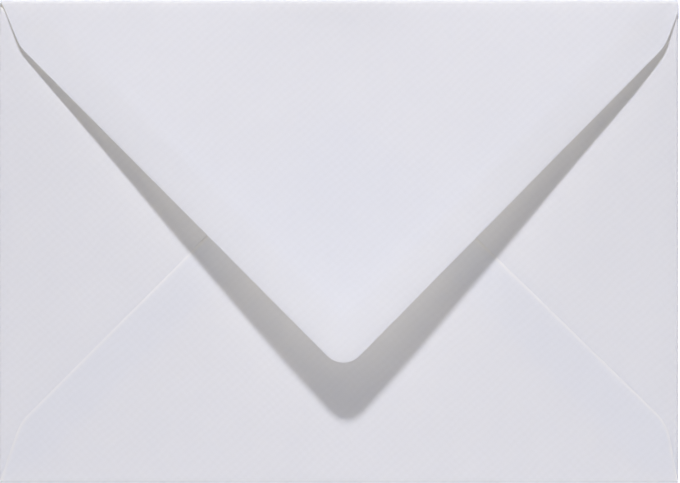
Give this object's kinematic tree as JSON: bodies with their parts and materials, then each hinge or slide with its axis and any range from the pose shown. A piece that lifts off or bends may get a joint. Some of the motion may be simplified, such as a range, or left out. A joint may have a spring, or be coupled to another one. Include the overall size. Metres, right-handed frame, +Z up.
{
  "type": "paper envelope",
  "caption": "Rectangular paper envelope, folded and glued into a flat pocket from a blank, back side up, with its pointed top flap folded over and sprung slightly open",
  "frame": {"origin": "on the surface it lies on, under the middle of the front (address) panel, so at the bottom centre of the bounding box", "axes": "+X along the long side, from the left side fold to the right one seen from the back; +Y in the plane of the sheet, from the bottom fold to the fold of the top flap; +Z up, out of the back of the envelope"},
  "size_m": [0.176, 0.125, 0.0136],
  "materials": {
    "paper": "uncoated bluish-white writing paper, matt, with a very faint slanting wire pattern"
  },
  "bodies": {
    "root": {"envelope": "paper"}
  },
  "joints": []
}
